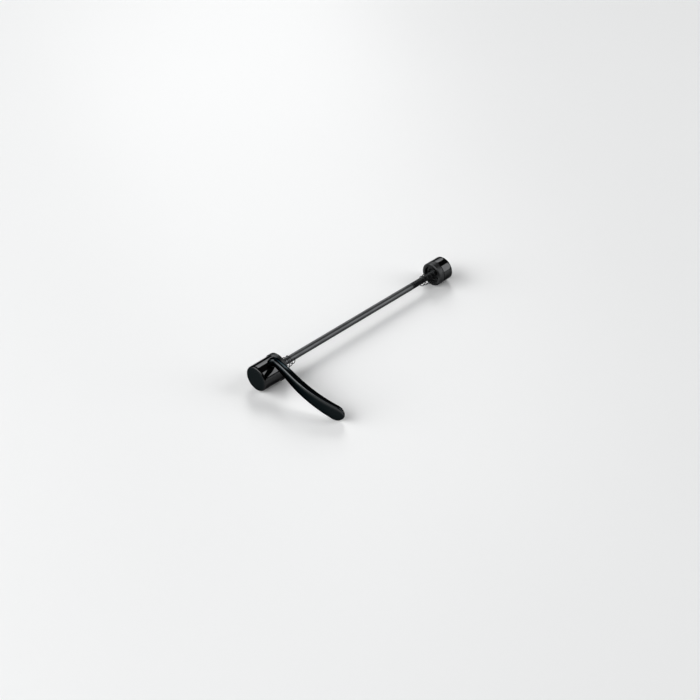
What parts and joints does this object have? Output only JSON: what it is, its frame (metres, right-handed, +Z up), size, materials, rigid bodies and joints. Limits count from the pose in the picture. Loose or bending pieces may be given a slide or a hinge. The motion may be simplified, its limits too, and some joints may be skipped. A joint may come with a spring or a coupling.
{
  "type": "quick release skewer",
  "caption": "Quick release skewer for a bicycle wheel: a cam lever in a round housing pulls a thin rod against a threaded end nut, with cone springs between.",
  "frame": {"origin": "centre of the clamp face on the lever's side, on the rod's axis", "axes": "+X along the rod towards the nut, +Z up from the surface the skewer lies on"},
  "size_m": [0.1936, 0.079, 0.0257],
  "materials": {
    "gloss_black": "gloss black anodised",
    "lever_black": "satin black anodised",
    "matt_black": "matt black anodised, knurled",
    "rod_steel": "satin dark steel",
    "spring_steel": "dark oiled wire",
    "bright_steel": "turned steel",
    "black_plastic": "matt black moulding",
    "dark_steel": "blackened steel",
    "nylon": "natural nylon"
  },
  "bodies": {
    "housing": {"cam_housing": "gloss_black", "lever_clamp_ring": "matt_black", "rod_guide": "black_plastic", "spindle_washer": "bright_steel", "lever_spring": "spring_steel"},
    "lever": {"lever": "lever_black", "cam_spindle": "bright_steel", "spindle_clip": "spring_steel"},
    "rod": {"skewer_rod": "rod_steel"},
    "nut_carrier": {"nut_spring": "spring_steel"},
    "nut": {"nut_body": "gloss_black", "nut_clamp_ring": "matt_black", "nut_thread_bush": "dark_steel", "nut_lock_ring": "nylon"}
  },
  "joints": [
    {"name": "lever_pivot", "type": "hinge", "parent": "housing", "child": "lever", "pos_m": [-0.0091, 0, 0], "axis": [0, 0.309, -0.9511], "range_deg": [0, 180]},
    {"name": "rod_draw", "type": "slide", "parent": "housing", "child": "rod", "axis": [1, 0, 0], "range_m": [0, 0.0016]},
    {"name": "nut_travel", "type": "slide", "parent": "rod", "child": "nut_carrier", "axis": [1, 0, 0], "range_m": [-0.02, 0.004]},
    {"name": "nut_turn", "type": "hinge", "parent": "nut_carrier", "child": "nut", "pos_m": [0.1574, 0, 0], "axis": [1, 0, 0], "range_deg": [-9000, 1800]}
  ],
  "couplings": [
    {"joint": "rod_draw", "follows": "lever_pivot", "m_per_rad": 0.00050929},
    {"joint": "nut_travel", "follows": "nut_turn", "m_per_rad": 0.00012732}
  ]
}
